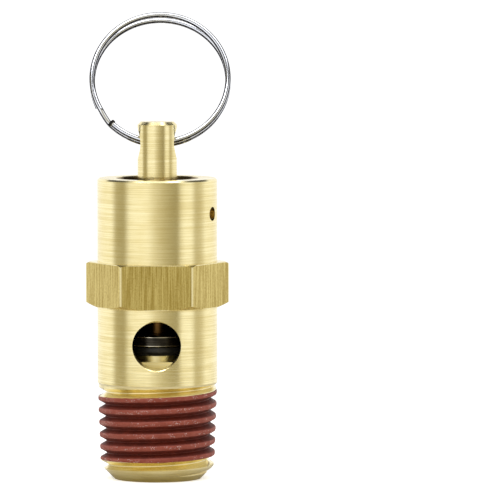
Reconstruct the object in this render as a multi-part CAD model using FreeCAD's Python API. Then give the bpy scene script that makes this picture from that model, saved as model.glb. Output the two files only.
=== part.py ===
import FreeCAD, Part
import math
import os
from FreeCAD import Vector

# Pull-ring safety valve for compressed air, thread down, in millimetres.
# The origin is the centre of the inlet face, +Z runs up to the lifting ring,
# -Y looks out through the discharge hole in front.

INCH = 25.4
UP = Vector(0, 0, 1)
CENTRE = Vector(0, 0, 0)
# How far a cutting shape reaches past the material it cuts
BEYOND = 1.0

# 1/4-18 NPT pipe thread at the bottom
PIPE_PITCH = INCH / 18
PIPE_TAPER = 1 / 32
PIPE_CREST_RADIUS = 6.45
PIPE_ROOT_RADIUS = 5.64
PIPE_ROOT_FLAT = 0.10
PIPE_START_RADIUS = 5.0
PIPE_FULL_TURNS = 8
PIPE_LAST_ROOT_HEIGHT = 10.05
PIPE_RUNOUT_START = 0.125
PIPE_RUNOUT_TURNS = 0.625
PIPE_RUNOUT_RISE = 1.35
PIPE_CUTTER_MARGIN = 0.11
FLANK_SLOPE = math.tan(math.radians(30))

# Outside of the body
BARREL_RADIUS = 6.925
SHOULDER_HEIGHT = 11.0
HEX_ACROSS_FLATS = 9 / 16 * INCH
HEX_BOTTOM = 19.95
HEX_TOP = 25.15
HEX_BOTTOM_CUT = 0.50
HEX_TOP_CUT = 0.22
HEX_CHAMFER_SLOPE = math.tan(math.radians(25))
BODY_TOP = 34.8
EDGE_BREAK = 0.2

# Inside of the body
INLET_RADIUS = 3.2
INLET_DEPTH = 11.0
ORIFICE_RADIUS = 2.1
NOZZLE_RADIUS = 2.9
NOZZLE_LIP = 14.4
CHAMBER_RADIUS = 4.25
CHAMBER_FLOOR = 13.7
DISCHARGE_RADIUS = 2.8
DISCHARGE_HEIGHT = 15.83
DISCHARGE_BREAK = 0.15
DISCHARGE_START = 3.1

# 3/8-24 thread between the bore and the adjusting plug
PLUG_PITCH = INCH / 24
PLUG_MAJOR_RADIUS = 3 / 16 * INCH
PLUG_THREAD_DEPTH = PLUG_MAJOR_RADIUS - CHAMBER_RADIUS
PLUG_ROOT_FLAT = 0.30
PLUG_CLEARANCE = 0.07
PLUG_CUTTER_MARGIN = 0.05
BORE_MOUTH_RADIUS = PLUG_MAJOR_RADIUS + 0.1
PLUG_BOTTOM = 28.0
PLUG_TOP = 33.5
BORE_THREAD_BOTTOM = 27.0
SLOT_WIDTH = 1.2
SLOT_DEPTH = 1.2

# Pin that locks the adjusting plug
LOCK_HOLE_RADIUS = 0.80
LOCK_PIN_RADIUS = 0.78
LOCK_HEIGHT = 30.8
LOCK_ANGLE = -22.6
LOCK_HOLE_INNER = 3.9
LOCK_PIN_INNER = 4.0
LOCK_PIN_OUTER = 6.0

# Lifting stem
STEM_RADIUS = 2.28
STEM_TOP = 41.3
STEM_CHAMFER = 0.35
STEM_CLEARANCE = 0.06
RING_HOLE_HEIGHT = 38.8
RING_HOLE_RADIUS = 1.2
RING_HOLE_MOUTH = 1.8
DRILL_SLOPE = math.tan(math.radians(59))
NECK_RADIUS = 1.1
TAIL_RADIUS = 0.85
TAIL_BOTTOM = 15.8
TAIL_CHAMFER = 0.1
SHOULDER_GAP = 0.03
SEAT_FLANGE_BOTTOM = 18.9
SEAT_FLANGE_TOP = 19.9
SEAT_FLANGE_RADIUS = 4.05
SPIGOT_TOP = 20.6
SPIGOT_RADIUS = 2.85

# Disc holder, retaining clip and rubber seat
HOLDER_BOTTOM = 15.4
HOLDER_TOP = 16.85
HOLDER_RADIUS = 4.05
HOLDER_HOLE_CLEARANCE = 0.04
HOLDER_POCKET_RADIUS = 2.2
HOLDER_POCKET_DEPTH = 0.9
CLIP_GROOVE_RADIUS = 0.60
CLIP_THICKNESS = 0.35
CLIP_TOP = 16.25
CLIP_INNER_RADIUS = 0.62
CLIP_OUTER_RADIUS = 1.9
CLIP_MOUTH_WIDTH = 1.1
CLIP_RELIEF_RADIUS = 0.3
CLIP_RELIEF_DISTANCE = 1.2
CLIP_PLAY = 0.03
SEAT_RADIUS = 3.5
SEAT_FACE_RADIUS = 3.1
SEAT_SPLIT_HEIGHT = 14.87
SEAT_GAP = 0.02
SEAT_HOLDER_GAP = 0.01
SEAT_STUB_CLEARANCE = 0.03
SEAT_STUB_LENGTH = 0.3

# Pressure spring and its upper washer
SPRING_WIRE_RADIUS = 0.45
SPRING_COIL_RADIUS = 3.45
SPRING_TOP = 27.45
SPRING_TURNS = 6
SPRING_CLOSED_TURNS = 1
SPRING_CLOSED_RISE = 2.1 * SPRING_WIRE_RADIUS
SPRING_GROUND_HEIGHT = 0.6 * SPRING_WIRE_RADIUS
SPRING_SEAT_GAP = 0.02
WASHER_THICKNESS = 0.5
WASHER_INNER_RADIUS = 2.5
WASHER_OUTER_RADIUS = 4.1

# Split ring
RING_MEAN_RADIUS = 7.87
RING_WIRE_RADIUS = 0.33
RING_LEAN = 25
RING_SIDE_SHIFT = 0.29
RING_SPREAD_CLOSED = 0.80
RING_SPREAD_OPEN = 1.63
RING_END_ANGLE = 224
RING_CROSSOVER = 16
RING_END_GAP = 4

# Thread sealant
COAT_CREST_RADIUS = 6.56
COAT_ROOT_RADIUS = 5.75
COAT_ROOT_FLAT = 0.04
COAT_GAP = 0.04
COAT_SEAM = 0.02
COAT_FIRST_TURN = -5
COAT_TURNS = 4.75

SPINE_STEP = 0.25
POINTS_PER_STEP = 6


def polygon_wire(points):
    return Part.makePolygon(points + [points[0]])


def turned(profile):
    """A solid of revolution about Z from (radius, height) pairs."""
    points = [Vector(radius, 0, height) for radius, height in profile]
    return Part.Face(polygon_wire(points)).revolve(CENTRE, UP, 360)


def cylinder(radius, bottom, top):
    return Part.makeCylinder(radius, top - bottom, Vector(0, 0, bottom))


def smooth_edge(path, start, end, steps):
    """One spline edge along path(t), with the right direction at both ends."""
    tiny = 1e-4
    points = [path(start + (end - start) * i / steps) for i in range(steps + 1)]
    leaving = (path(start + tiny) - path(start - tiny)).multiply(0.5 / tiny)
    arriving = (path(end + tiny) - path(end - tiny)).multiply(0.5 / tiny)
    curve = Part.BSplineCurve()
    curve.interpolate(Points=points, InitialTangent=leaving, FinalTangent=arriving)
    return curve.toShape()


def spine(path, start, end, step=SPINE_STEP):
    """A chain of short spline edges along path(t)."""
    count = max(1, round((end - start) / step))
    span = (end - start) / count
    edges = []
    for i in range(count):
        edge = smooth_edge(path, start + span * i, start + span * (i + 1), POINTS_PER_STEP)
        edges.append(edge)
    return Part.Wire(edges)


def swept_upright(path, start, end, section):
    """Sweep (outward, up) pairs along a screw path; the section stays upright."""
    origin = path(start)
    outward = Vector(origin.x, origin.y, 0).normalize()
    points = [origin + outward * out + UP * rise for out, rise in section]
    sweep = Part.BRepOffsetAPI.MakePipeShell(spine(path, start, end))
    sweep.setBiNormalMode(UP)
    sweep.add(polygon_wire(points), False, False)
    sweep.build()
    sweep.makeSolid()
    return sweep.shape()


def swept_wire(path, start, end, radius, axis, step=SPINE_STEP):
    """Round wire along path(t), coiled about the given axis."""
    tiny = 1e-4
    direction = path(start + tiny) - path(start)
    section = Part.Wire([Part.makeCircle(radius, path(start), direction)])
    sweep = Part.BRepOffsetAPI.MakePipeShell(spine(path, start, end, step))
    sweep.setBiNormalMode(axis)
    sweep.add(section, False, False)
    sweep.build()
    sweep.makeSolid()
    return sweep.shape()


def screw_point(radius, turn, height):
    """A point on a right-hand screw; whole turns lie on the -X side."""
    angle = math.pi + 2 * math.pi * turn
    return Vector(radius * math.cos(angle), radius * math.sin(angle), height)


def pipe_height(turn):
    return PIPE_LAST_ROOT_HEIGHT + PIPE_PITCH * turn


def pipe_root_path(turn):
    """Root of the pipe thread; near the shoulder the tool draws out of the cut."""
    height = pipe_height(turn)
    drawn = max(0.0, turn - PIPE_RUNOUT_START) / PIPE_RUNOUT_TURNS
    radius = PIPE_ROOT_RADIUS + height * PIPE_TAPER + PIPE_RUNOUT_RISE * drawn ** 2
    return screw_point(radius, turn, height)


def v_section(depth, flat):
    """A V with a small flat, opening outward over the given depth."""
    mouth = flat / 2 + depth * FLANK_SLOPE
    return [(0, -flat / 2), (0, flat / 2), (depth, mouth), (depth, -mouth)]


def pipe_thread_cutter():
    depth = PIPE_CREST_RADIUS - PIPE_ROOT_RADIUS + PIPE_CUTTER_MARGIN
    section = v_section(depth, PIPE_ROOT_FLAT)
    end = PIPE_RUNOUT_START + PIPE_RUNOUT_TURNS
    return swept_upright(pipe_root_path, -PIPE_FULL_TURNS, end, section)


def hexagon():
    """Hexagonal bar with a flat facing -Y, its corners cut back top and bottom."""
    corner = HEX_ACROSS_FLATS / math.sqrt(3)
    points = []
    for i in range(6):
        angle = math.radians(60 * i)
        points.append(Vector(corner * math.cos(angle), corner * math.sin(angle), HEX_BOTTOM))
    bar = Part.Face(polygon_wire(points)).extrude(Vector(0, 0, HEX_TOP - HEX_BOTTOM))
    low_reach = HEX_BOTTOM_CUT / HEX_CHAMFER_SLOPE
    high_reach = HEX_TOP_CUT / HEX_CHAMFER_SLOPE
    lathe = turned([
        (0, HEX_BOTTOM),
        (corner - low_reach, HEX_BOTTOM),
        (corner, HEX_BOTTOM + HEX_BOTTOM_CUT),
        (corner, HEX_TOP - HEX_TOP_CUT),
        (corner - high_reach, HEX_TOP),
        (0, HEX_TOP),
    ])
    return bar.common(lathe)


def body_bar():
    """Outside of the body before threading and drilling."""
    start_height = (PIPE_CREST_RADIUS - PIPE_START_RADIUS) / (1 - PIPE_TAPER)
    shoulder_radius = PIPE_CREST_RADIUS + SHOULDER_HEIGHT * PIPE_TAPER
    outline = turned([
        (0, 0),
        (PIPE_START_RADIUS, 0),
        (PIPE_START_RADIUS + start_height, start_height),
        (shoulder_radius, SHOULDER_HEIGHT),
        (BARREL_RADIUS, SHOULDER_HEIGHT + EDGE_BREAK),
        (BARREL_RADIUS, BODY_TOP - EDGE_BREAK),
        (BARREL_RADIUS - EDGE_BREAK, BODY_TOP),
        (0, BODY_TOP),
    ])
    return outline.fuse(hexagon()).removeSplitter()


def body_bore():
    """Inlet, orifice and spring chamber, leaving the raised nozzle ring."""
    return turned([
        (0, -BEYOND),
        (INLET_RADIUS + EDGE_BREAK + BEYOND, -BEYOND),
        (INLET_RADIUS, EDGE_BREAK),
        (INLET_RADIUS, INLET_DEPTH),
        (ORIFICE_RADIUS, INLET_DEPTH + (INLET_RADIUS - ORIFICE_RADIUS) / DRILL_SLOPE),
        (ORIFICE_RADIUS, NOZZLE_LIP),
        (NOZZLE_RADIUS, NOZZLE_LIP),
        (NOZZLE_RADIUS, CHAMBER_FLOOR),
        (CHAMBER_RADIUS, CHAMBER_FLOOR),
        (CHAMBER_RADIUS, BODY_TOP - (BORE_MOUTH_RADIUS - CHAMBER_RADIUS)),
        (BORE_MOUTH_RADIUS, BODY_TOP),
        (BORE_MOUTH_RADIUS, BODY_TOP + BEYOND),
        (0, BODY_TOP + BEYOND),
    ])


def discharge_drill():
    """Hole through the front wall, started clear of the nozzle, its outer edge broken."""
    flare = DISCHARGE_RADIUS + BEYOND
    reach = BARREL_RADIUS - DISCHARGE_BREAK
    axis = Vector(0, 0, DISCHARGE_HEIGHT)
    front = Vector(0, -1, 0)
    length = BARREL_RADIUS + BEYOND - DISCHARGE_START
    hole = Part.makeCylinder(DISCHARGE_RADIUS, length, axis + front * DISCHARGE_START, front)
    edge = Part.makeCone(DISCHARGE_RADIUS, flare, BEYOND, axis + front * reach, front)
    return hole.fuse(edge)


def lock_direction():
    angle = math.radians(LOCK_ANGLE)
    return Vector(math.cos(angle), math.sin(angle), 0)


def lock_bar(radius, inner, outer):
    """A round bar along the lock hole, between two distances from the axis."""
    start = lock_direction() * inner + UP * LOCK_HEIGHT
    return Part.makeCylinder(radius, outer - inner, start, lock_direction())


def bore_thread_path(turn):
    radius = PLUG_MAJOR_RADIUS
    return screw_point(radius, turn, BORE_THREAD_BOTTOM + PLUG_PITCH * turn)


def plug_thread_path(turn):
    radius = CHAMBER_RADIUS - PLUG_CLEARANCE
    return screw_point(radius, turn, BORE_THREAD_BOTTOM + PLUG_PITCH * (turn + 0.5))


def plug_thread_section():
    return v_section(PLUG_THREAD_DEPTH + PLUG_CUTTER_MARGIN, PLUG_ROOT_FLAT)


def valve_body():
    body = body_bar().cut(pipe_thread_cutter())
    body = body.cut(body_bore())
    body = body.cut(discharge_drill())
    body = body.cut(lock_bar(LOCK_HOLE_RADIUS, LOCK_HOLE_INNER, BARREL_RADIUS + BEYOND))
    turns = (BODY_TOP - BORE_THREAD_BOTTOM) / PLUG_PITCH + 1
    inward = [(-out, rise) for out, rise in plug_thread_section()]
    return body.cut(swept_upright(bore_thread_path, 0, turns, inward))


def adjusting_plug():
    """Hollow screw that sets the spring load, with a screwdriver slot on top."""
    crest = PLUG_MAJOR_RADIUS - PLUG_CLEARANCE
    hole = STEM_RADIUS + STEM_CLEARANCE
    blank = turned([
        (hole, PLUG_BOTTOM),
        (crest - PLUG_THREAD_DEPTH, PLUG_BOTTOM),
        (crest, PLUG_BOTTOM + PLUG_THREAD_DEPTH),
        (crest, PLUG_TOP - PLUG_THREAD_DEPTH),
        (crest - PLUG_THREAD_DEPTH, PLUG_TOP),
        (hole + EDGE_BREAK, PLUG_TOP),
        (hole, PLUG_TOP - EDGE_BREAK),
    ])
    turns = (PLUG_TOP - BORE_THREAD_BOTTOM) / PLUG_PITCH + 1
    cutter = swept_upright(plug_thread_path, 0, turns, plug_thread_section())
    slot_corner = Vector(-BARREL_RADIUS, -SLOT_WIDTH / 2, PLUG_TOP - SLOT_DEPTH)
    slot = Part.makeBox(2 * BARREL_RADIUS, SLOT_WIDTH, SLOT_DEPTH + BEYOND, slot_corner)
    plug = blank.cut(cutter).cut(slot)
    return plug.cut(lock_bar(LOCK_HOLE_RADIUS, LOCK_HOLE_INNER, BARREL_RADIUS))


def lock_pin():
    """Drive pin sunk below the surface, its outer end rounded over."""
    pin = lock_bar(LOCK_PIN_RADIUS, LOCK_PIN_INNER, LOCK_PIN_OUTER)
    ball_radius = 2 * LOCK_PIN_RADIUS
    centre = lock_direction() * (LOCK_PIN_OUTER - ball_radius) + UP * LOCK_HEIGHT
    return pin.common(Part.makeSphere(ball_radius, centre))


def ring_hole():
    """Cross hole for the ring with drilled-out mouths on both sides."""
    length = 2 * (STEM_RADIUS + BEYOND)
    start = Vector(-length / 2, 0, RING_HOLE_HEIGHT)
    hole = Part.makeCylinder(RING_HOLE_RADIUS, length, start, Vector(1, 0, 0))
    depth = (RING_HOLE_MOUTH - RING_HOLE_RADIUS) / DRILL_SLOPE
    for side in (-1, 1):
        tip = Vector(side * (STEM_RADIUS - depth), 0, RING_HOLE_HEIGHT)
        reach = depth + BEYOND
        wide = RING_HOLE_RADIUS + reach * DRILL_SLOPE
        mouth = Part.makeCone(RING_HOLE_RADIUS, wide, reach, tip, Vector(side, 0, 0))
        hole = hole.fuse(mouth)
    return hole


def lift_stem():
    """One turned piece: tail in the disc holder, spring seat flange, pull end."""
    groove_bottom = CLIP_TOP - CLIP_THICKNESS - CLIP_PLAY
    groove_top = CLIP_TOP + CLIP_PLAY
    stem = turned([
        (0, TAIL_BOTTOM),
        (TAIL_RADIUS - TAIL_CHAMFER, TAIL_BOTTOM),
        (TAIL_RADIUS - TAIL_CHAMFER, groove_bottom),
        (CLIP_GROOVE_RADIUS, groove_bottom),
        (CLIP_GROOVE_RADIUS, groove_top),
        (TAIL_RADIUS, groove_top),
        (TAIL_RADIUS, HOLDER_TOP + SHOULDER_GAP),
        (NECK_RADIUS, HOLDER_TOP + SHOULDER_GAP),
        (NECK_RADIUS, SEAT_FLANGE_BOTTOM),
        (SEAT_FLANGE_RADIUS - EDGE_BREAK, SEAT_FLANGE_BOTTOM),
        (SEAT_FLANGE_RADIUS, SEAT_FLANGE_BOTTOM + EDGE_BREAK),
        (SEAT_FLANGE_RADIUS, SEAT_FLANGE_TOP),
        (SPIGOT_RADIUS, SEAT_FLANGE_TOP),
        (SPIGOT_RADIUS, SPIGOT_TOP - EDGE_BREAK),
        (SPIGOT_RADIUS - EDGE_BREAK, SPIGOT_TOP),
        (STEM_RADIUS, SPIGOT_TOP),
        (STEM_RADIUS, STEM_TOP - STEM_CHAMFER),
        (STEM_RADIUS - STEM_CHAMFER, STEM_TOP),
        (0, STEM_TOP),
    ])
    return stem.cut(ring_hole())


def disc_holder():
    hole = TAIL_RADIUS + HOLDER_HOLE_CLEARANCE
    return turned([
        (HOLDER_POCKET_RADIUS, HOLDER_BOTTOM),
        (HOLDER_RADIUS - EDGE_BREAK, HOLDER_BOTTOM),
        (HOLDER_RADIUS, HOLDER_BOTTOM + EDGE_BREAK),
        (HOLDER_RADIUS, HOLDER_TOP - EDGE_BREAK),
        (HOLDER_RADIUS - EDGE_BREAK, HOLDER_TOP),
        (hole, HOLDER_TOP),
        (hole, HOLDER_BOTTOM + HOLDER_POCKET_DEPTH),
        (HOLDER_POCKET_RADIUS, HOLDER_BOTTOM + HOLDER_POCKET_DEPTH),
    ])


def stem_clip():
    """E-shaped clip in the groove near the end of the stem."""
    bottom = CLIP_TOP - CLIP_THICKNESS
    clip = cylinder(CLIP_OUTER_RADIUS, bottom, CLIP_TOP)
    clip = clip.cut(cylinder(CLIP_INNER_RADIUS, bottom - BEYOND, CLIP_TOP + BEYOND))
    depth = CLIP_THICKNESS + 2 * BEYOND
    mouth_corner = Vector(0, -CLIP_MOUTH_WIDTH / 2, bottom - BEYOND)
    mouth = Part.makeBox(CLIP_OUTER_RADIUS + BEYOND, CLIP_MOUTH_WIDTH, depth, mouth_corner)
    clip = clip.cut(mouth)
    for angle in (90, -90, 180):
        direction = math.radians(angle)
        across = CLIP_RELIEF_DISTANCE * math.cos(direction)
        along = CLIP_RELIEF_DISTANCE * math.sin(direction)
        relief = Vector(across, along, bottom - BEYOND)
        clip = clip.cut(Part.makeCylinder(CLIP_RELIEF_RADIUS, depth, relief))
    return clip


def seat_disc():
    """Rubber disc with a stub pressed into the holder's pocket."""
    stub_radius = HOLDER_POCKET_RADIUS - SEAT_STUB_CLEARANCE
    back = HOLDER_BOTTOM - SEAT_HOLDER_GAP
    stub_top = HOLDER_BOTTOM + SEAT_STUB_LENGTH
    return turned([
        (0, NOZZLE_LIP + SEAT_GAP),
        (SEAT_FACE_RADIUS, NOZZLE_LIP + SEAT_GAP),
        (SEAT_RADIUS, SEAT_SPLIT_HEIGHT),
        (SEAT_RADIUS, back),
        (stub_radius, back),
        (stub_radius, stub_top),
        (0, stub_top),
    ])


def spring_path(turn):
    """Coil centre line: closed turns at both ends, open turns between."""
    bottom = SEAT_FLANGE_TOP + SPRING_GROUND_HEIGHT
    top = SPRING_TOP - SPRING_GROUND_HEIGHT
    free = SPRING_TURNS - 2 * SPRING_CLOSED_TURNS
    open_rise = (top - bottom - 2 * SPRING_CLOSED_RISE * SPRING_CLOSED_TURNS) / free
    low = min(turn, SPRING_CLOSED_TURNS)
    middle = min(max(turn - SPRING_CLOSED_TURNS, 0.0), free)
    high = max(turn - SPRING_TURNS + SPRING_CLOSED_TURNS, 0.0)
    height = bottom + SPRING_CLOSED_RISE * (low + high) + open_rise * middle
    return screw_point(SPRING_COIL_RADIUS, turn, height)


def pressure_spring():
    """Round-wire compression spring with both ends ground flat."""
    coil = swept_wire(spring_path, 0, SPRING_TURNS, SPRING_WIRE_RADIUS, UP)
    return coil.common(cylinder(BARREL_RADIUS, SEAT_FLANGE_TOP + SPRING_SEAT_GAP, SPRING_TOP))


def spring_washer():
    bottom = SPRING_TOP + SPRING_SEAT_GAP
    top = bottom + WASHER_THICKNESS
    disc = cylinder(WASHER_OUTER_RADIUS, bottom, top)
    return disc.cut(cylinder(WASHER_INNER_RADIUS, bottom - BEYOND, top + BEYOND))


def ring_path(degrees):
    """Centre line of the two-turn split ring, from its front end to its back end."""
    angle = math.radians(RING_END_ANGLE + degrees)
    begin = 360 - RING_CROSSOVER
    share = min(max((degrees - begin) / RING_CROSSOVER, 0.0), 1.0)
    layer = math.cos(math.pi * share)
    openness = ((1 + math.sin(angle)) / 2) ** 2
    spread = RING_SPREAD_CLOSED + (RING_SPREAD_OPEN - RING_SPREAD_CLOSED) * openness
    across = RING_MEAN_RADIUS * math.cos(angle)
    along = RING_MEAN_RADIUS * (1 + math.sin(angle))
    forward = layer * spread / 2
    lean = math.radians(RING_LEAN)
    return Vector(
        RING_SIDE_SHIFT + across,
        along * math.sin(lean) - forward * math.cos(lean),
        RING_HOLE_HEIGHT + along * math.cos(lean) + forward * math.sin(lean),
    )


def split_ring():
    """Spring-steel ring of two turns, sprung slightly apart at the top."""
    end = 720 - RING_CROSSOVER - RING_END_GAP
    lean = math.radians(RING_LEAN)
    facing = Vector(0, -math.cos(lean), math.sin(lean))
    return swept_wire(ring_path, 0, end, RING_WIRE_RADIUS, facing, step=RING_CROSSOVER / 2)


def coat_path(turn):
    height = pipe_height(turn)
    return screw_point(COAT_ROOT_RADIUS + height * PIPE_TAPER, turn, height)


def thread_sealant():
    """Dried sealant lying in the grooves and over the crests, wound as one strip."""
    outer_depth = COAT_CREST_RADIUS - COAT_ROOT_RADIUS
    outer_flank = COAT_ROOT_FLAT / 2 + outer_depth * FLANK_SLOPE
    inner_root = PIPE_ROOT_RADIUS + COAT_GAP - COAT_ROOT_RADIUS
    inner_crest = PIPE_CREST_RADIUS + COAT_GAP - COAT_ROOT_RADIUS
    # On a 60 degree thread a clearance narrows the root by clearance times flank slope
    inner_flat = PIPE_ROOT_FLAT / 2 - COAT_GAP * FLANK_SLOPE
    inner_flank = inner_flat + (inner_crest - inner_root) * FLANK_SLOPE
    half = (PIPE_PITCH - COAT_SEAM) / 2
    upper = [
        (0, COAT_ROOT_FLAT / 2),
        (outer_depth, outer_flank),
        (outer_depth, half),
        (inner_crest, half),
        (inner_crest, inner_flank),
        (inner_root, inner_flat),
    ]
    lower = [(out, -rise) for out, rise in reversed(upper)]
    end = COAT_FIRST_TURN + COAT_TURNS
    return swept_upright(coat_path, COAT_FIRST_TURN, end, upper + lower)


def save(name, shape):
    solids = shape.Solids
    if len(solids) != 1 or not shape.isValid():
        raise ValueError(name + " is not one valid solid")
    solids[0].exportStep("parts/" + name + ".step")


def main():
    os.makedirs("parts", exist_ok=True)
    makers = (
        valve_body, thread_sealant, adjusting_plug, lock_pin, spring_washer, pressure_spring,
        lift_stem, disc_holder, stem_clip, seat_disc, split_ring,
    )
    for maker in makers:
        save(maker.__name__, maker())


main()
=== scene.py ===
import math

import bmesh
import bpy
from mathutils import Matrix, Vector, noise


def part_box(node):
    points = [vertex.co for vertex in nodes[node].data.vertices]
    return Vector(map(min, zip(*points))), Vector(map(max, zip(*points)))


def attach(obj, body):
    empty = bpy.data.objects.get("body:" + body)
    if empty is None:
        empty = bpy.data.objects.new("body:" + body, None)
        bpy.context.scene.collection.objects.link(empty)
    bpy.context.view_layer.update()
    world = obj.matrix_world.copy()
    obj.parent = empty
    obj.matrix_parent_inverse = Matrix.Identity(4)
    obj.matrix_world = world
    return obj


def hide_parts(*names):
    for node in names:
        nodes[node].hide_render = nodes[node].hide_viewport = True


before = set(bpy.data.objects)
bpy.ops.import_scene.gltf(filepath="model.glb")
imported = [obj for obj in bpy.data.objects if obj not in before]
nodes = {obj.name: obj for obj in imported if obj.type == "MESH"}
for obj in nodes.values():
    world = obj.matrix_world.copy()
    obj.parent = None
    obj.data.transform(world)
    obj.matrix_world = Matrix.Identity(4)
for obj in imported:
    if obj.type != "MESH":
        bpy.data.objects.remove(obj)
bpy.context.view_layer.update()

# Blender side of the pull-ring relief valve. Metres, same frame as the CAD:
# origin at the centre of the inlet face, +Z up to the ring, -Y to the camera.

MM = 0.001

# Top of the ring, taken from the frame
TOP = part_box("split_ring")[1].z

# 1/4-18 NPT thread, as cut on the CAD body
PITCH = 25.4 / 18 * MM
TAPER = 1 / 32
FIRST_ROOT = 10.05 * MM
COAT_CREST = 6.56 * MM
COAT_DEPTH = 0.81 * MM
COAT_START_TURN = -5
COAT_TURNS = 4.75
# Shares of the pitch: half the groove floor, and where the crest starts to round over
COAT_FLOOR_HALF = 0.020
COAT_CREST_AT = 0.345
COAT_ROUND_AT = 0.322
# Shares of the pitch that the coat reaches past its first and last full turn
COAT_OVER_TOP = 0.155
COAT_OVER_BOTTOM = 0.165
# Turns over which the coat fades out at either end, and how finely it is meshed
COAT_FADE = 0.24
COAT_STEPS_PER_TURN = 300
COAT_ROWS = 24
COAT_EDGE_ROWS = 5
COAT_THICKNESS = 0.035 * MM

# Split ring, as bent in the CAD; its steps, end gap and burr length are in degrees
RING_HOLE_HEIGHT = 38.8 * MM
RING_RADIUS = 7.87 * MM
RING_WIRE = 0.33 * MM
RING_LEAN = math.radians(25)
RING_SIDE_SHIFT = 0.29 * MM
RING_SPREAD_CLOSED = 0.80 * MM
RING_SPREAD_OPEN = 1.63 * MM
RING_END_ANGLE = 224
RING_CROSSOVER = 16
RING_END_GAP = 4
WIRE_SIDES = 32
WIRE_STEP = 1.5
BURR_LENGTH = 2.2
BURR_RADIUS = 1.36 * RING_WIRE
# Material slots of the ring: plated wire, cut ends painted black as shadow, dark lines as painted
# reflection
PLATED = 0
CUT_END_SHADOW_SLOT = 1
DARK_REFLECTION_SLOT = 2

# Heights and radii that divide the brass body into zones of colour
BARREL_RADIUS = 6.925 * MM
FLAT_MARGIN = 0.15 * MM
HEX_LOW = 19.95 * MM
HEX_HIGH = 25.15 * MM
THREAD_LOW = 2.2 * MM
THREAD_TOP = 11.2 * MM
HEX_CORNER = 9 / 16 * 25.4 / math.sqrt(3) * MM
# Widths of the painted highlights along the hexagon's edges and corners
EDGE_HIGHLIGHT_BAND = 0.09 * MM
CORNER_HIGHLIGHT_START = 0.11 * MM
CORNER_HIGHLIGHT_END = 0.03 * MM
WALL_INSIDE = 6.70 * MM
BORE_INSIDE = 4.84 * MM
NOZZLE_LIP = 14.7 * MM
BORE_TOP = 34.75 * MM
HOLDER_LOW = 15.4 * MM
HOLDER_TOP = 16.85 * MM
RIM_BREAK = 0.26 * MM

# Depths of the turning marks on the brass, and of the grain on its drawn flats
FINE_DEPTH = 0.0040 * MM
MARK_DEPTH = 0.0050 * MM
WOBBLE_DEPTH = 0.0040 * MM
GRAIN_DEPTH = 0.0060 * MM

# Studio: the sheet's half side over the valve's height, and how bright the room is
SHEET_SHARE = 1.5
SHEET_GLOW = 0.55
ROOM_STRENGTH = 1.12
LAMP_DISTANCE = 0.5

# Camera: distance, downward tilt, the point it looks at and the width it takes in
CAMERA_DISTANCE = 0.70
CAMERA_TILT = math.radians(4.0)
CAMERA_SIGHT = Vector((10.7, 0, 26.45)) * MM
CAMERA_WIDTH = 57.75 * MM
SENSOR_WIDTH = 36


# ---------------------------------------------------------------- node helpers

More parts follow.
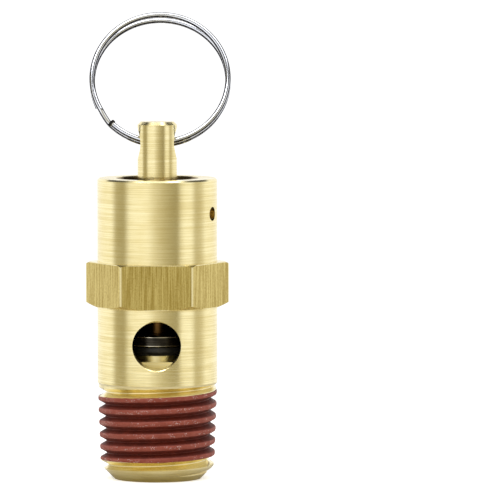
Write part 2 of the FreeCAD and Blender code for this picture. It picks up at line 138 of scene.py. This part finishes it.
class Shader:
    """A new node material with short calls for the nodes used below."""

    def __init__(self, name):
        self.material = bpy.data.materials.new(name)
        self.material.use_nodes = True
        self.tree = self.material.node_tree
        self.surface = self.tree.nodes["Principled BSDF"]
        self.place = self.tree.nodes.new("ShaderNodeTexCoord").outputs["Object"]

    def link(self, source, target):
        if isinstance(source, (int, float)):
            target.default_value = source
        elif isinstance(source, tuple):
            target.default_value = source
        else:
            self.tree.links.new(source, target)

    def math(self, operation, first, second=0.0, third=0.0):
        node = self.tree.nodes.new("ShaderNodeMath")
        node.operation = operation
        for value, socket in zip((first, second, third), node.inputs):
            self.link(value, socket)
        return node.outputs[0]

    def stretch(self, across, along):
        """Object coordinates in metres times across for X and Y, along for Z."""
        node = self.tree.nodes.new("ShaderNodeVectorMath")
        node.operation = "MULTIPLY"
        self.link(self.place, node.inputs[0])
        node.inputs[1].default_value = (across, across, along)
        return node.outputs[0]

    def noise(self, vector, detail=3.0):
        node = self.tree.nodes.new("ShaderNodeTexNoise")
        self.link(vector, node.inputs["Vector"])
        node.inputs["Scale"].default_value = 1.0
        node.inputs["Detail"].default_value = detail
        node.inputs["Roughness"].default_value = 0.55
        return node.outputs["Fac"]

    def cells(self, vector):
        node = self.tree.nodes.new("ShaderNodeTexVoronoi")
        self.link(vector, node.inputs["Vector"])
        node.inputs["Scale"].default_value = 1.0
        return node.outputs["Distance"]

    def remap(self, value, low, high, to_low=0.0, to_high=1.0):
        node = self.tree.nodes.new("ShaderNodeMapRange")
        node.interpolation_type = "SMOOTHSTEP"
        settings = (
            (value, "Value"), (low, "From Min"), (high, "From Max"),
            (to_low, "To Min"), (to_high, "To Max"),
        )
        for setting, key in settings:
            self.link(setting, node.inputs[key])
        return node.outputs["Result"]

    def mix(self, factor, first, second):
        node = self.tree.nodes.new("ShaderNodeMix")
        node.data_type = "RGBA"
        self.link(factor, node.inputs["Factor"])
        self.link(first, node.inputs["A"])
        self.link(second, node.inputs["B"])
        return node.outputs["Result"]

    def blend(self, factor, first, second):
        """A number between two numbers."""
        change = self.math("SUBTRACT", second, first)
        return self.math("ADD", first, self.math("MULTIPLY", factor, change))

    def between(self, value, low, high):
        """1 where the value lies between low and high, else 0."""
        above = self.math("GREATER_THAN", value, low)
        return self.math("MULTIPLY", above, self.math("LESS_THAN", value, high))

    def bump(self, height, distance, under=None):
        node = self.tree.nodes.new("ShaderNodeBump")
        node.inputs["Strength"].default_value = 1.0
        self.link(distance, node.inputs["Distance"])
        self.link(height, node.inputs["Height"])
        if under is not None:
            self.link(under, node.inputs["Normal"])
        return node.outputs["Normal"]

    def axis_parts(self):
        """(distance from the Z axis, height) of the shaded point."""
        split = self.tree.nodes.new("ShaderNodeSeparateXYZ")
        self.link(self.place, split.inputs[0])
        x, y, z = split.outputs
        square = self.math("ADD", self.math("MULTIPLY", x, x), self.math("MULTIPLY", y, y))
        return self.math("SQRT", square), z

    def finish(self, colour, roughness, normal=None, metallic=0.0):
        self.link(colour, self.surface.inputs["Base Color"])
        self.link(roughness, self.surface.inputs["Roughness"])
        self.surface.inputs["Metallic"].default_value = metallic
        if normal is not None:
            self.link(normal, self.surface.inputs["Normal"])
        return self.material


def paint(node, material):
    """Give a CAD node its own material, leaving the mesh alone."""
    piece = nodes[node]
    for slot in piece.material_slots:
        slot.link = "OBJECT"
        slot.material = material


def rgb(red, green, blue):
    return (red, green, blue, 1.0)


# ------------------------------------------------------------------- materials

def turning_lines(s):
    """Fine rings round the axis, fainter tool marks, and a slight sideways wobble."""
    fine = s.noise(s.stretch(130, 8200), detail=2)
    marks = s.noise(s.stretch(100, 4200), detail=2)
    wobble = s.noise(s.stretch(1000, 6800), detail=2)
    return fine, marks, wobble


def turned_normal(s, fine, marks, wobble):
    normal = s.bump(fine, FINE_DEPTH)
    normal = s.bump(marks, MARK_DEPTH, under=normal)
    return s.bump(wobble, WOBBLE_DEPTH, under=normal)


def turned_shade(s, fine, marks, cloud_scale):
    """(how light, how rough) turned brass is: its rings over faint clouds of tarnish."""
    rings = s.blend(0.35, fine, marks)
    cloud = s.noise(s.stretch(cloud_scale, cloud_scale), detail=4)
    shade = s.remap(s.blend(0.30, rings, cloud), 0.34, 0.66)
    return shade, s.remap(rings, 0.35, 0.65, 0.23, 0.15)


def turned_brass(name, light, dark):
    """Brass off the lathe, in two shades."""
    s = Shader(name)
    fine, marks, wobble = turning_lines(s)
    shade, roughness = turned_shade(s, fine, marks, 300)
    colour = s.mix(shade, dark, light)
    return s.finish(colour, roughness, turned_normal(s, fine, marks, wobble), metallic=1.0)


def stem_brass():
    """Turned brass; below the hexagon, where the chamber hides it, a darker, browner copy is
    painted shade.
    """
    s = Shader("stem_brass")
    fine, marks, wobble = turning_lines(s)
    shade, roughness = turned_shade(s, fine, marks, 300)
    clean = s.mix(shade, rgb(0.76, 0.63, 0.29), rgb(0.94, 0.84, 0.50))
    # Painted shade: a darker, browner copy of the brass for the stem down in the chamber
    painted_shade_brass = s.mix(shade, rgb(0.17, 0.085, 0.025), rgb(0.30, 0.16, 0.05))
    height = s.axis_parts()[1]
    in_painted_shade = s.math("LESS_THAN", height, HEX_LOW)
    colour = s.mix(in_painted_shade, clean, painted_shade_brass)
    roughness = s.math("MAXIMUM", roughness, s.math("MULTIPLY", 0.42, in_painted_shade))
    return s.finish(colour, roughness, turned_normal(s, fine, marks, wobble), metallic=1.0)


def drawn_grain(s):
    """Upright grain of a drawn bar with small pits."""
    coarse = s.noise(s.stretch(5200, 130), detail=2)
    narrow = s.noise(s.stretch(9400, 260), detail=2)
    pits = s.noise(s.stretch(5600, 5600), detail=3)
    return s.blend(0.25, s.blend(0.5, coarse, narrow), pits)


def flat_brass(s, radius, height, drawn):
    """Colour of the hexagon's flats, with a painted highlight along their edges and corners."""
    dull = s.mix(s.remap(drawn, 0.37, 0.63), rgb(0.37, 0.260, 0.050), rgb(0.68, 0.55, 0.20))
    # Painted highlight: lighter brass along the flats' top and bottom edges and at the corners
    corner = s.remap(radius, HEX_CORNER - CORNER_HIGHLIGHT_START, HEX_CORNER - CORNER_HIGHLIGHT_END)
    middle = s.between(height, HEX_LOW + EDGE_HIGHLIGHT_BAND, HEX_HIGH - EDGE_HIGHLIGHT_BAND)
    painted_edge_highlight = s.math("MAXIMUM", corner, s.math("SUBTRACT", 1.0, middle))
    return s.mix(s.math("MULTIPLY", painted_edge_highlight, 0.75), dull, rgb(0.94, 0.84, 0.50))


def inside_zone(s, radius, height, outer, low, high):
    """1 inside a radius between two heights."""
    return s.math("MULTIPLY", s.math("LESS_THAN", radius, outer), s.between(height, low, high))


def body_brass():
    """Turned brass, duller drawn flats on the hexagon with painted highlights, yellow thread,
    painted shade in the chamber, bore and lock hole, painted light at the nozzle.
    """
    s = Shader("body_brass")
    radius, height = s.axis_parts()
    fine, marks, wobble = turning_lines(s)
    shade, turned = turned_shade(s, fine, marks, 280)
    colour = s.mix(shade, rgb(0.78, 0.65, 0.30), rgb(0.95, 0.85, 0.50))

    in_hex = s.between(height, HEX_LOW, HEX_HIGH)
    past_barrel = s.math("GREATER_THAN", radius, BARREL_RADIUS + FLAT_MARGIN)
    on_flat = s.math("MULTIPLY", in_hex, past_barrel)
    drawn = drawn_grain(s)
    colour = s.mix(on_flat, colour, flat_brass(s, radius, height, drawn))

    on_thread = s.between(height, THREAD_LOW, THREAD_TOP)
    thread_brass = s.mix(shade, rgb(0.80, 0.67, 0.34), rgb(0.94, 0.84, 0.50))
    colour = s.mix(on_thread, colour, thread_brass)

    # Painted shade: the chamber wall above the nozzle lip is coloured near black
    chamber = inside_zone(s, radius, height, WALL_INSIDE, NOZZLE_LIP, HEX_HIGH)
    painted_chamber_shade = s.mix(shade, rgb(0.020, 0.013, 0.006), rgb(0.050, 0.034, 0.014))
    colour = s.mix(chamber, colour, painted_chamber_shade)
    # Painted light: lighter brass on the nozzle and chamber floor, where light comes in through
    # the hole
    nozzle = inside_zone(s, radius, height, WALL_INSIDE, THREAD_TOP, NOZZLE_LIP)
    painted_lit_brass = s.mix(shade, rgb(0.86, 0.72, 0.34), rgb(0.97, 0.90, 0.58))
    colour = s.mix(nozzle, colour, painted_lit_brass)
    # Painted shade: darker brown brass in the bore above the hexagon
    bore = inside_zone(s, radius, height, BORE_INSIDE, HEX_HIGH, BORE_TOP)
    painted_shade_brass = s.mix(shade, rgb(0.12, 0.075, 0.025), rgb(0.22, 0.15, 0.05))
    colour = s.mix(bore, colour, painted_shade_brass)
    # Painted shade: a darker copy of the brass inside the wall above the hexagon, where the lock
    # hole is
    lock_hole = inside_zone(s, radius, height, WALL_INSIDE, HEX_HIGH, BORE_TOP)
    lock_hole = s.math("MULTIPLY", lock_hole, s.math("GREATER_THAN", radius, BORE_INSIDE))
    painted_hole_shade = s.mix(shade, rgb(0.50, 0.38, 0.15), rgb(0.78, 0.66, 0.38))
    colour = s.mix(lock_hole, colour, painted_hole_shade)

    sawn = s.remap(drawn, 0.35, 0.65, 0.36, 0.24)
    roughness = s.blend(on_flat, turned, sawn)
    roughness = s.blend(nozzle, roughness, 0.30)
    depth = s.blend(on_flat, FINE_DEPTH, GRAIN_DEPTH)
    normal = s.bump(s.blend(on_flat, fine, drawn), depth)
    normal = s.bump(marks, MARK_DEPTH, under=normal)
    normal = s.bump(wobble, WOBBLE_DEPTH, under=normal)
    return s.finish(colour, roughness, normal, metallic=1.0)


def dried_sealant():
    """Brick-red sealant: darker in the grooves, pale flecks rubbed along the crests."""
    s = Shader("dried_sealant")
    radius, height = s.axis_parts()
    crest = s.math("ADD", COAT_CREST, s.math("MULTIPLY", height, TAPER))
    depth = s.math("SUBTRACT", crest, radius)
    low = s.remap(depth, 0.03 * MM, 0.19 * MM)
    cloud = s.noise(s.stretch(900, 1500), detail=5)
    fine = s.noise(s.stretch(3800, 5200), detail=3)
    mottled = s.remap(s.blend(0.4, cloud, fine), 0.35, 0.66)
    top = s.mix(mottled, rgb(0.255, 0.044, 0.023), rgb(0.335, 0.070, 0.042))
    bottom = s.mix(mottled, rgb(0.105, 0.0100, 0.0020), rgb(0.165, 0.0190, 0.0060))
    colour = s.mix(low, top, bottom)
    grains = s.cells(s.stretch(7200, 8200))
    patches = s.noise(s.stretch(900, 1900), detail=3)
    speck = s.math("MULTIPLY", s.remap(grains, 0.30, 0.18), s.remap(patches, 0.50, 0.58))
    edge = s.remap(depth, 0.12 * MM, 0.03 * MM)
    speck = s.math("MULTIPLY", speck, edge)
    colour = s.mix(speck, colour, rgb(0.90, 0.80, 0.76))
    roughness = s.remap(mottled, 0.0, 1.0, 0.66, 0.52)
    normal = s.bump(fine, 0.012 * MM)
    normal = s.bump(cloud, 0.030 * MM, under=normal)
    return s.finish(colour, roughness, normal)


def bright_steel():
    """Plated spring wire: nearly a mirror, with faint scuffs."""
    s = Shader("bright_steel")
    wire = s.noise(s.stretch(1600, 1600), detail=4)
    scuffs = s.noise(s.stretch(420, 420), detail=3)
    colour = s.mix(s.remap(scuffs, 0.4, 0.65), rgb(0.86, 0.88, 0.93), rgb(0.74, 0.76, 0.81))
    roughness = s.remap(s.blend(0.5, wire, scuffs), 0.40, 0.62, 0.07, 0.14)
    return s.finish(colour, roughness, s.bump(wire, 0.0006 * MM), metallic=1.0)


def painted_dark_reflection():
    """Painted reflection: a dark line along both sides of the wire, standing in for reflected dark
    surroundings.
    """
    s = Shader("painted_dark_reflection")
    scale = s.noise(s.stretch(2600, 2600), detail=3)
    colour = s.mix(s.remap(scale, 0.40, 0.66), rgb(0.020, 0.020, 0.024), rgb(0.10, 0.10, 0.115))
    roughness = s.remap(scale, 0.4, 0.6, 0.30, 0.20)
    return s.finish(colour, roughness, s.bump(scale, 0.0010 * MM), metallic=1.0)


def cut_end_painted_shadow():
    """Unplated steel where the ring's wire was cut, painted near black as the shadow at its cut
    end.
    """
    s = Shader("cut_end_painted_shadow")
    tear = s.noise(s.stretch(5200, 5200), detail=3)
    colour = s.mix(s.remap(tear, 0.4, 0.6), rgb(0.008, 0.008, 0.008), rgb(0.030, 0.028, 0.026))
    s.surface.inputs["Specular IOR Level"].default_value = 0.10
    return s.finish(colour, s.remap(tear, 0.4, 0.6, 0.75, 0.55), s.bump(tear, 0.010 * MM))


def spring_wire():
    """Drawn stainless wire and stamped steel, greyer than the ring."""
    s = Shader("spring_wire")
    draw = s.noise(s.stretch(2400, 2400), detail=4)
    colour = s.mix(s.remap(draw, 0.4, 0.6), rgb(0.45, 0.45, 0.44), rgb(0.66, 0.66, 0.65))
    roughness = s.remap(draw, 0.4, 0.6, 0.36, 0.22)
    return s.finish(colour, roughness, s.bump(draw, 0.006 * MM), metallic=1.0)


def dark_steel():
    """Blackened turned steel of the disc holder, with painted highlights along its two rims."""
    s = Shader("dark_steel")
    fine = s.noise(s.stretch(260, 9000), detail=4)
    cloud = s.noise(s.stretch(700, 700), detail=4)
    shade = s.remap(s.blend(0.5, fine, cloud), 0.38, 0.62)
    colour = s.mix(shade, rgb(0.018, 0.016, 0.013), rgb(0.050, 0.044, 0.034))
    height = s.axis_parts()[1]
    # Painted highlight: light bands along the holder's two rims, broken up by the cloud
    upper_rim = s.between(height, HOLDER_TOP - RIM_BREAK, HOLDER_TOP - RIM_BREAK / 2)
    lower_rim = s.between(height, HOLDER_LOW + RIM_BREAK / 2, HOLDER_LOW + RIM_BREAK)
    highlight_breakup = s.remap(cloud, 0.38, 0.60, 0.35, 1.0)
    painted_rim_highlight = s.math("MULTIPLY", s.math("ADD", upper_rim, lower_rim), highlight_breakup)
    colour = s.mix(painted_rim_highlight, colour, rgb(0.80, 0.74, 0.58))
    roughness = s.remap(fine, 0.35, 0.65, 0.34, 0.22)
    return s.finish(colour, roughness, s.bump(fine, 0.003 * MM), metallic=1.0)


def black_rubber():
    """Moulded nitrile rubber with a faint bloom."""
    s = Shader("black_rubber")
    skin = s.noise(s.stretch(4200, 4200), detail=4)
    bloom = s.noise(s.stretch(900, 900), detail=3)
    colour = s.mix(s.remap(bloom, 0.45, 0.70), rgb(0.010, 0.010, 0.010), rgb(0.035, 0.034, 0.033))
    roughness = s.remap(skin, 0.35, 0.65, 0.50, 0.36)
    return s.finish(colour, roughness, s.bump(skin, 0.012 * MM))


# ------------------------------------------------------------- sealant coating

def coat_radius(share):
    """Coat surface outside the root, for a place in the pitch from -0.5 to 0.5."""
    away = abs((share + 0.5) % 1.0 - 0.5)
    full = COAT_CREST_AT - COAT_FLOOR_HALF
    if away < COAT_ROUND_AT:
        return COAT_DEPTH * max(0.0, away - COAT_FLOOR_HALF) / full
    corner = (COAT_ROUND_AT - COAT_FLOOR_HALF) / full
    over = (away - COAT_ROUND_AT) / (0.5 - COAT_ROUND_AT)
    return COAT_DEPTH * (corner + (1 - corner) * math.sin(math.pi / 2 * over))


def coat_point(turn, share):
    """Outer surface of the coat at a turn and a place across the pitch."""
    height = FIRST_ROOT + PITCH * (turn + share)
    angle = math.pi + 2 * math.pi * turn
    radius = COAT_CREST - COAT_DEPTH + height * TAPER + coat_radius(share)
    spot = Vector((radius * math.cos(angle), radius * math.sin(angle), height))
    lumps = 0.014 * noise.noise(spot * 1400) + 0.007 * noise.noise(spot * 4200)
    sag = 0.010 * noise.noise(spot * 500)
    return spot + Vector((math.cos(angle), math.sin(angle), 0)) * ((lumps + sag) * MM)


def coat_strip(mesh, first, last, low, high, rows):
    """One ribbon of faces between two turns; low and high give its edges."""
    steps = round((last - first) * COAT_STEPS_PER_TURN)
    lines = []
    for i in range(steps + 1):
        turn = first + (last - first) * i / steps
        bottom = low(turn)
        top = high(turn)
        line = []
        for j in range(rows + 1):
            share = bottom + (top - bottom) * j / rows
            line.append(mesh.verts.new(coat_point(turn, share)))
        lines.append(line)
    for near, far in zip(lines, lines[1:]):
        for j in range(rows):
            mesh.faces.new((near[j], far[j], far[j + 1], near[j + 1]))


def ragged(turn, seed):
    """How far the edge of the coat wanders, as a share of the pitch."""
    angle = 2 * math.pi * turn
    spot = Vector((math.cos(angle), math.sin(angle), seed))
    return 0.020 * noise.noise(spot * 7) + 0.012 * noise.noise(spot * 26)


def thread_coat():
    """The whole sealant coat, its ragged edges fading out at both ends of the strip."""
    start = COAT_START_TURN
    end = start + COAT_TURNS

    def full_bottom(turn):
        return -0.5

    def full_top(turn):
        return 0.5

    def top_edge(turn):
        return 0.5 + (COAT_OVER_TOP + ragged(turn, 3.0)) * min(1.0, (end - turn) / COAT_FADE)

    def bottom_edge(turn):
        return -0.5 - (COAT_OVER_BOTTOM - ragged(turn, 9.0)) * min(1.0, (turn - start) / COAT_FADE)

    def last_edge(turn):
        share = (turn - end) / COAT_FADE
        return 0.5 + (top_edge(end - 1 + COAT_FADE) - 1.5) * share

    def first_edge(turn):
        share = (start - turn) / COAT_FADE
        return -0.5 + (bottom_edge(start + 1 - COAT_FADE) + 1.5) * share

    mesh = bmesh.new()
    coat_strip(mesh, start, end, full_bottom, full_top, COAT_ROWS)
    coat_strip(mesh, end - 1 + COAT_FADE, end, full_top, top_edge, COAT_EDGE_ROWS)
    coat_strip(mesh, start, start + 1 - COAT_FADE, bottom_edge, full_bottom, COAT_EDGE_ROWS)
    coat_strip(mesh, end, end + COAT_FADE, full_bottom, last_edge, COAT_ROWS)
    coat_strip(mesh, start - COAT_FADE, start, first_edge, full_top, COAT_ROWS)
    bmesh.ops.remove_doubles(mesh, verts=mesh.verts, dist=0.002 * MM)
    bmesh.ops.recalc_face_normals(mesh, faces=mesh.faces)
    data = bpy.data.meshes.new("thread_coat")
    mesh.to_mesh(data)
    mesh.free()
    for face in data.polygons:
        face.use_smooth = True
    coat = bpy.data.objects.new("thread_coat", data)
    bpy.context.scene.collection.objects.link(coat)
    data.materials.append(dried_sealant())
    shell = coat.modifiers.new("thickness", "SOLIDIFY")
    shell.thickness = COAT_THICKNESS
    shell.offset = -1
    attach(coat, "housing")
    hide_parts("thread_sealant")
    return coat


# ------------------------------------------------------------------- split ring

def ring_point(degrees):
    """Centre line of the two-turn ring, from its front end to its back end."""
    angle = math.radians(RING_END_ANGLE + degrees)
    share = (degrees - 360 + RING_CROSSOVER) / RING_CROSSOVER
    layer = math.cos(math.pi * min(max(share, 0.0), 1.0))
    openness = ((1 + math.sin(angle)) / 2) ** 2
    spread = RING_SPREAD_CLOSED + (RING_SPREAD_OPEN - RING_SPREAD_CLOSED) * openness
    along = RING_RADIUS * (1 + math.sin(angle))
    forward = layer * spread / 2
    return Vector((
        RING_SIDE_SHIFT + RING_RADIUS * math.cos(angle),
        along * math.sin(RING_LEAN) - forward * math.cos(RING_LEAN),
        RING_HOLE_HEIGHT + along * math.cos(RING_LEAN) + forward * math.sin(RING_LEAN),
    ))


def ring_circle(mesh, degrees, radius):
    """Round section of the wire, square to its centre line."""
    centre = ring_point(degrees)
    ahead = (ring_point(degrees + 0.1) - ring_point(degrees - 0.1)).normalized()
    facing = Vector((0, -math.cos(RING_LEAN), math.sin(RING_LEAN)))
    inward = facing.cross(ahead).normalized()
    level = ahead.cross(inward)
    circle = []
    for i in range(WIRE_SIDES):
        turn = 2 * math.pi * i / WIRE_SIDES
        outward = inward * math.cos(turn) + level * math.sin(turn)
        circle.append(mesh.verts.new(centre + outward * radius))
    return circle


def wire_slot(around):
    """Material slot for a place round the wire, in degrees from its inner side; the dark slot is a
    painted reflection.
    """
    from_inner = abs((around + 180) % 360 - 180)
    from_outer = 180 - from_inner
    return DARK_REFLECTION_SLOT if 16 < from_inner < 60 or 28 < from_outer < 54 else PLATED


def wire_ring():
    """The split ring, with a small burr left at its front end; the burr and both cut ends are
    painted black as shadow.
    """
    end = 720 - RING_CROSSOVER - RING_END_GAP
    steps = round((end - BURR_LENGTH) / WIRE_STEP)
    stations = [(0, BURR_RADIUS), (BURR_LENGTH, BURR_RADIUS)]
    burr_rows = len(stations)
    for i in range(steps + 1):
        stations.append((BURR_LENGTH + (end - BURR_LENGTH) * i / steps, RING_WIRE))
    mesh = bmesh.new()
    circles = [ring_circle(mesh, degrees, radius) for degrees, radius in stations]
    for row, (near, far) in enumerate(zip(circles, circles[1:])):
        for i in range(WIRE_SIDES):
            j = (i + 1) % WIRE_SIDES
            face = mesh.faces.new((near[i], near[j], far[j], far[i]))
            face.smooth = row >= burr_rows
            face.material_index = CUT_END_SHADOW_SLOT
            if row >= burr_rows:
                face.material_index = wire_slot(180 / WIRE_SIDES * (2 * i + 1))
    mesh.faces.new(list(reversed(circles[0]))).material_index = CUT_END_SHADOW_SLOT
    mesh.faces.new(circles[-1]).material_index = CUT_END_SHADOW_SLOT
    bmesh.ops.recalc_face_normals(mesh, faces=mesh.faces)
    data = bpy.data.meshes.new("wire_ring")
    mesh.to_mesh(data)
    mesh.free()
    ring = bpy.data.objects.new("wire_ring", data)
    bpy.context.scene.collection.objects.link(ring)
    data.materials.append(bright_steel())
    data.materials.append(cut_end_painted_shadow())
    data.materials.append(painted_dark_reflection())
    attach(ring, "ring")
    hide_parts("split_ring")
    return ring


# ------------------------------------------------------------------------ stage

def floor():
    """Pale sheet under the valve, level with the inlet face.

    The camera sees it blown out to white; reflections see a duller sheet.
    """
    size = SHEET_SHARE * TOP
    data = bpy.data.meshes.new("floor")
    corners = [(-size, -size, 0), (size, -size, 0), (size, size, 0), (-size, size, 0)]
    data.from_pydata(corners, [], [(0, 1, 2, 3)])
    ground = bpy.data.objects.new("floor", data)
    bpy.context.scene.collection.objects.link(ground)
    s = Shader("floor_paint")
    speckle = s.noise(s.stretch(40, 40), detail=2)
    seen = s.tree.nodes.new("ShaderNodeLightPath").outputs["Is Camera Ray"]
    pale = s.mix(speckle, rgb(0.90, 0.90, 0.90), rgb(0.93, 0.93, 0.93))
    colour = s.mix(seen, rgb(0.72, 0.70, 0.66), pale)
    s.surface.inputs["Emission Color"].default_value = rgb(1, 1, 1)
    s.link(s.math("MULTIPLY", seen, SHEET_GLOW), s.surface.inputs["Emission Strength"])
    data.materials.append(s.finish(colour, 0.8))


def soft_box(name, azimuth, elevation, width, height, power):
    """An area light aimed at the middle of the valve; angles in degrees."""
    light = bpy.data.lights.new(name, "AREA")
    light.shape = "RECTANGLE"
    light.size = width
    light.size_y = height
    light.energy = power
    lamp = bpy.data.objects.new(name, light)
    bpy.context.scene.collection.objects.link(lamp)
    a = math.radians(azimuth)
    e = math.radians(elevation)
    away = Vector((math.sin(a) * math.cos(e), -math.cos(a) * math.cos(e), math.sin(e)))
    target = Vector((0, 0, TOP / 2))
    lamp.location = target + away * LAMP_DISTANCE
    lamp.rotation_mode = "QUATERNION"
    lamp.rotation_quaternion = away.to_track_quat("Z", "Y")
    return lamp


def room_azimuth(tree, across, depth):
    """The direction round the room, 0 to 1 for -180 to 180 degrees from the camera."""
    flip = tree.nodes.new("ShaderNodeMath")
    flip.operation = "MULTIPLY"
    tree.links.new(depth, flip.inputs[0])
    flip.inputs[1].default_value = -1
    turn = tree.nodes.new("ShaderNodeMath")
    turn.operation = "ARCTAN2"
    tree.links.new(across, turn.inputs[0])
    tree.links.new(flip.outputs[0], turn.inputs[1])
    share = tree.nodes.new("ShaderNodeMapRange")
    tree.links.new(turn.outputs[0], share.inputs["Value"])
    share.inputs["From Min"].default_value = -math.pi
    share.inputs["From Max"].default_value = math.pi
    return share.outputs["Result"]


def room_walls(tree, azimuth_share):
    """Upright bright and dark bands round the room, the dark ones a little warmer."""
    # (azimuth in degrees from the camera, positive to the right; brightness)
    bands = (
        (-180, 0.98), (-98, 1.00), (-86, 0.46), (-66, 0.38), (-54, 0.94), (-40, 1.00), (-18, 1.00),
        (-4, 0.74), (14, 0.52), (40, 0.32), (48, 0.84), (56, 1.00), (70, 1.00), (80, 0.52),
        (94, 0.64), (108, 1.00), (180, 0.98),
    )
    ramp = tree.nodes.new("ShaderNodeValToRGB")
    tree.links.new(azimuth_share, ramp.inputs["Fac"])
    stops = ramp.color_ramp.elements
    for azimuth, level in bands[1:-1]:
        stops.new((azimuth + 180) / 360)
    for stop, (azimuth, level) in zip(stops, bands):
        stop.position = (azimuth + 180) / 360
        stop.color = (level, level * (0.84 + 0.16 * level), level * (0.36 + 0.64 * level), 1)
    return ramp.outputs["Color"]


def room_strip(tree, rise, shade, near, far, level):
    """Fade the room to a grey between two heights of the direction looked in."""
    strip = tree.nodes.new("ShaderNodeMapRange")
    tree.links.new(rise, strip.inputs["Value"])
    strip.inputs["From Min"].default_value = near
    strip.inputs["From Max"].default_value = far
    fade = tree.nodes.new("ShaderNodeMix")
    fade.data_type = "RGBA"
    tree.links.new(strip.outputs["Result"], fade.inputs["Factor"])
    tree.links.new(shade, fade.inputs["A"])
    fade.inputs["B"].default_value = (level, level, level, 1)
    return fade.outputs["Result"]


def studio():
    """A room of soft bands for reflections, plain white where the camera sees it."""
    world = bpy.data.worlds.new("studio")
    bpy.context.scene.world = world
    world.use_nodes = True
    tree = world.node_tree
    back = tree.nodes["Background"]
    place = tree.nodes.new("ShaderNodeTexCoord")
    split = tree.nodes.new("ShaderNodeSeparateXYZ")
    tree.links.new(place.outputs["Generated"], split.inputs[0])
    across, depth, rise = split.outputs
    shade = room_walls(tree, room_azimuth(tree, across, depth))
    # Dark above the walls, bright again overhead, dark below
    for near, far, level in ((0.50, 0.58, 0.10), (0.84, 0.92, 0.95), (-0.50, -0.60, 0.10)):
        shade = room_strip(tree, rise, shade, near, far, level)
    path = tree.nodes.new("ShaderNodeLightPath")
    mix = tree.nodes.new("ShaderNodeMix")
    mix.data_type = "RGBA"
    tree.links.new(path.outputs["Is Camera Ray"], mix.inputs["Factor"])
    tree.links.new(shade, mix.inputs["A"])
    mix.inputs["B"].default_value = (1, 1, 1, 1)
    tree.links.new(mix.outputs["Result"], back.inputs["Color"])
    back.inputs["Strength"].default_value = ROOM_STRENGTH


def develop():
    """Plain display of the light, as a product photograph has."""
    settings = bpy.context.scene.view_settings
    settings.view_transform = "Standard"
    settings.look = "None"


def camera():
    """Long lens a little above the valve, set a bit to its right."""
    data = bpy.data.cameras.new("camera")
    data.sensor_width = SENSOR_WIDTH
    data.lens = SENSOR_WIDTH * CAMERA_DISTANCE / CAMERA_WIDTH
    data.clip_start = 0.01
    data.clip_end = 20
    view = bpy.data.objects.new("camera", data)
    bpy.context.scene.collection.objects.link(view)
    away = Vector((0, -math.cos(CAMERA_TILT), math.sin(CAMERA_TILT)))
    view.location = CAMERA_SIGHT + away * CAMERA_DISTANCE
    view.rotation_euler = (math.pi / 2 - CAMERA_TILT, 0, 0)
    bpy.context.scene.camera = view


def main():
    # Painted shade: the plug's brass is a darker copy, for where it sits down in the bore
    plug_brass = turned_brass("plug_brass", rgb(0.50, 0.38, 0.14), rgb(0.34, 0.25, 0.08))
    pin_brass = turned_brass("pin_brass", rgb(0.80, 0.68, 0.38), rgb(0.55, 0.42, 0.18))
    paint("valve_body", body_brass())
    paint("adjusting_plug", plug_brass)
    paint("lock_pin", pin_brass)
    paint("lift_stem", stem_brass())
    steel = spring_wire()
    for node in ("pressure_spring", "spring_washer", "stem_clip"):
        paint(node, steel)
    paint("disc_holder", dark_steel())
    paint("seat_disc", black_rubber())
    thread_coat()
    wire_ring()
    floor()
    studio()
    soft_box("key_light", -35, 62, 0.30, 0.30, 1.1)
    soft_box("fill_light", 60, 62, 0.25, 0.30, 0.6)
    develop()
    camera()


main()
